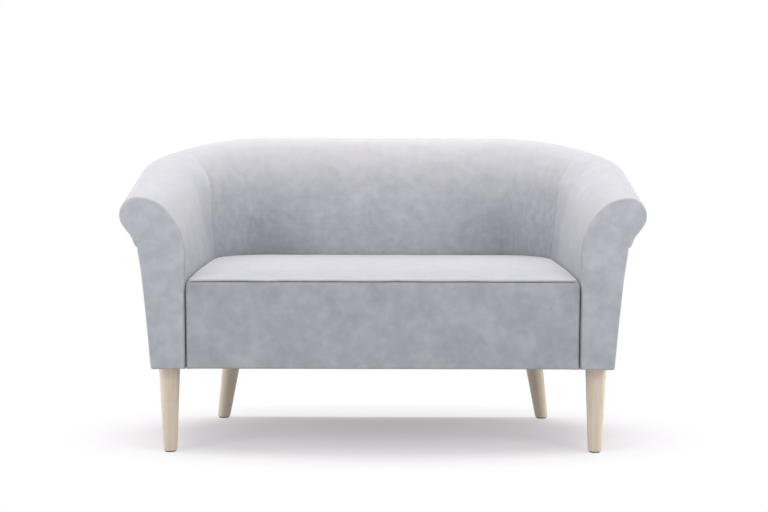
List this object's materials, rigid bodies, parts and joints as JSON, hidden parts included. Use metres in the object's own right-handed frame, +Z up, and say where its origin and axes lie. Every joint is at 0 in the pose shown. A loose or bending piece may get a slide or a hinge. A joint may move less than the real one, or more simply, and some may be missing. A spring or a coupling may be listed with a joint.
{
  "type": "two-seat tub sofa",
  "caption": "Upholstered tub sofa with outward-rolled arms that sweep up round rear corners into the back, a tight seat and tapered wooden legs.",
  "frame": {"origin": "on the floor under the middle of the sofa's box", "axes": "+X to the right as seen from the front, +Y to the back, +Z up"},
  "size_m": [1.326, 0.7, 0.79],
  "materials": {
    "velvet": "short-pile velvet",
    "foam": "polyurethane foam",
    "felt": "needled felt",
    "dust_cloth": "non-woven cloth",
    "plywood": "birch plywood, raw",
    "softwood": "planed softwood",
    "chipboard": "pressed board, raw",
    "hardboard": "thin pressed fibre board",
    "leg_wood": "bleached beech, matt lacquer",
    "spring_steel": "oiled spring wire",
    "zinc_steel": "zinc plated",
    "clip_plastic": "moulded nylon",
    "glide_plastic": "moulded polyethylene"
  },
  "bodies": {
    "root": {"arm_cover_left": "velvet", "arm_cover_right": "velvet", "back_cover": "velvet", "arm_facing_left": "velvet", "arm_facing_right": "velvet", "outside_arm_cover_left": "velvet", "outside_arm_cover_right": "velvet", "outside_back_cover": "velvet", "seat_cover_top": "velvet", "seat_cover_front": "velvet", "arm_foam_left": "foam", "arm_foam_right": "foam", "back_foam": "foam", "seat_foam": "foam", "facing_pad_left": "foam", "facing_pad_right": "foam", "seat_front_pad": "foam", "spring_felt": "felt", "dust_cover": "dust_cloth", "arm_front_board_left": "plywood", "arm_front_board_right": "plywood", "arm_rib_left": "plywood", "arm_rib_right": "plywood", "corner_rib_left": "plywood", "corner_rib_right": "plywood", "back_rib_left": "plywood", "back_rib_right": "plywood", "back_rib_centre": "plywood", "top_rail_left": "softwood", "top_rail_right": "softwood", "top_rail_back": "softwood", "seat_rail_left": "softwood", "seat_rail_right": "softwood", "seat_rail_front": "softwood", "seat_rail_rear": "softwood", "base_brace": "softwood", "base_board_left": "chipboard", "base_board_right": "chipboard", "base_board_front": "chipboard", "base_board_rear": "chipboard", "inner_lining_left": "hardboard", "inner_lining_right": "hardboard", "inner_lining_back": "hardboard", "outside_lining_left": "hardboard", "outside_lining_right": "hardboard", "outside_lining_back": "hardboard", "leg_front_left": "leg_wood", "leg_front_right": "leg_wood", "leg_rear_left": "leg_wood", "leg_rear_right": "leg_wood", "seat_springs": "spring_steel", "leg_bolts": "zinc_steel", "leg_tnuts": "zinc_steel", "spring_clips": "clip_plastic", "leg_glides": "glide_plastic"}
  },
  "joints": []
}
